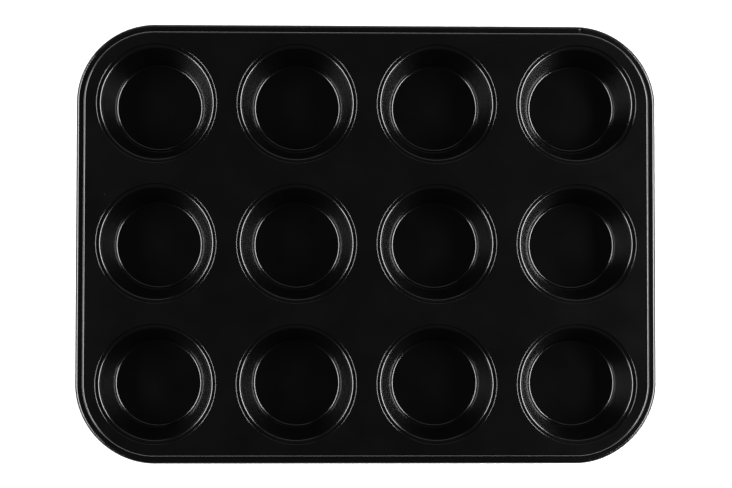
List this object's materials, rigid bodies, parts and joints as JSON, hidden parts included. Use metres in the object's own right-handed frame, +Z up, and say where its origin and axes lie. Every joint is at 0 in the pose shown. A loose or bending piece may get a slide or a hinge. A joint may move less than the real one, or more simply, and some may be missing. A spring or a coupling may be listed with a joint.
{
  "type": "muffin tin",
  "caption": "Shallow black non-stick baking tin: a flat pressed deck with a rolled, wired rim and rows of round tapered cups seamed into it.",
  "frame": {"origin": "under the middle of the tin, on the plane that the cup floors stand on", "axes": "+X along the length, +Y across the width towards the back row of cups, +Z up out of the cups"},
  "size_m": [0.3508, 0.2652, 0.03],
  "materials": {
    "nonstick_coating": "satin black non-stick coating on steel sheet",
    "rim_wire_steel": "plain drawn steel wire, dulled by the oven"
  },
  "bodies": {
    "root": {"deck": "nonstick_coating", "rim_wire": "rim_wire_steel", "cup_front_1": "nonstick_coating", "cup_front_2": "nonstick_coating", "cup_front_3": "nonstick_coating", "cup_front_4": "nonstick_coating", "cup_middle_1": "nonstick_coating", "cup_middle_2": "nonstick_coating", "cup_middle_3": "nonstick_coating", "cup_middle_4": "nonstick_coating", "cup_back_1": "nonstick_coating", "cup_back_2": "nonstick_coating", "cup_back_3": "nonstick_coating", "cup_back_4": "nonstick_coating"}
  },
  "joints": []
}
